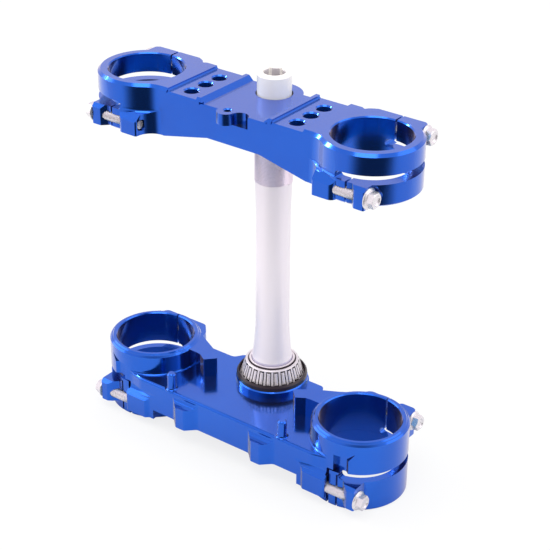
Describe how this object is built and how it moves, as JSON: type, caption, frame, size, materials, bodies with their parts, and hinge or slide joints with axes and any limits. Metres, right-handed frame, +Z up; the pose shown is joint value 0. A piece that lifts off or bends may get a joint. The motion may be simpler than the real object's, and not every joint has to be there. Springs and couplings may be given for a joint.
{
  "type": "motorcycle triple clamp",
  "caption": "Split top and bottom fork clamps on a hollow steering stem, with a stem bolt, pinch bolts, a lower taper roller bearing whose cage turns, and a dust seal",
  "frame": {"origin": "on the steering axis at the stem's lower end, level with the underside of the bottom clamp's hub", "axes": "+Z up along the steering axis, -Y to the front of the motorcycle, +X to the side of the picture's nearer fork ring"},
  "size_m": [0.26, 0.095, 0.285],
  "materials": {
    "blue_anodised": "bright blue anodised, satin gloss",
    "stem_aluminium": "turned, bright satin",
    "bolt_aluminium": "turned, bright satin",
    "bearing_steel": "ground and polished",
    "cage_steel": "pressed, satin",
    "seal_rubber": "matte",
    "zinc_bolt": "zinc plated, satin"
  },
  "bodies": {
    "clamps": {"top_clamp": "blue_anodised", "bottom_clamp": "blue_anodised", "steering_stem": "stem_aluminium", "stem_bolt": "bolt_aluminium", "bearing_inner_race": "bearing_steel", "bearing_seal": "seal_rubber", "top_left_front_bolt": "zinc_bolt", "top_left_rear_bolt": "zinc_bolt", "top_right_front_bolt": "zinc_bolt", "top_right_rear_bolt": "zinc_bolt", "bottom_left_front_bolt": "zinc_bolt", "bottom_left_rear_bolt": "zinc_bolt", "bottom_right_front_bolt": "zinc_bolt", "bottom_right_rear_bolt": "zinc_bolt"},
    "roller_cage": {"bearing_cage": "cage_steel", "bearing_roller_01": "bearing_steel", "bearing_roller_02": "bearing_steel", "bearing_roller_03": "bearing_steel", "bearing_roller_04": "bearing_steel", "bearing_roller_05": "bearing_steel", "bearing_roller_06": "bearing_steel", "bearing_roller_07": "bearing_steel", "bearing_roller_08": "bearing_steel", "bearing_roller_09": "bearing_steel", "bearing_roller_10": "bearing_steel", "bearing_roller_11": "bearing_steel", "bearing_roller_12": "bearing_steel", "bearing_roller_13": "bearing_steel", "bearing_roller_14": "bearing_steel", "bearing_roller_15": "bearing_steel", "bearing_roller_16": "bearing_steel", "bearing_roller_17": "bearing_steel", "bearing_roller_18": "bearing_steel", "bearing_roller_19": "bearing_steel", "bearing_roller_20": "bearing_steel", "bearing_roller_21": "bearing_steel", "bearing_roller_22": "bearing_steel", "bearing_roller_23": "bearing_steel", "bearing_roller_24": "bearing_steel"}
  },
  "joints": [
    {"name": "cage_spin", "type": "hinge", "parent": "clamps", "child": "roller_cage", "pos_m": [0, 0, 0.0388], "axis": [0, 0, 1], "continuous": true}
  ]
}
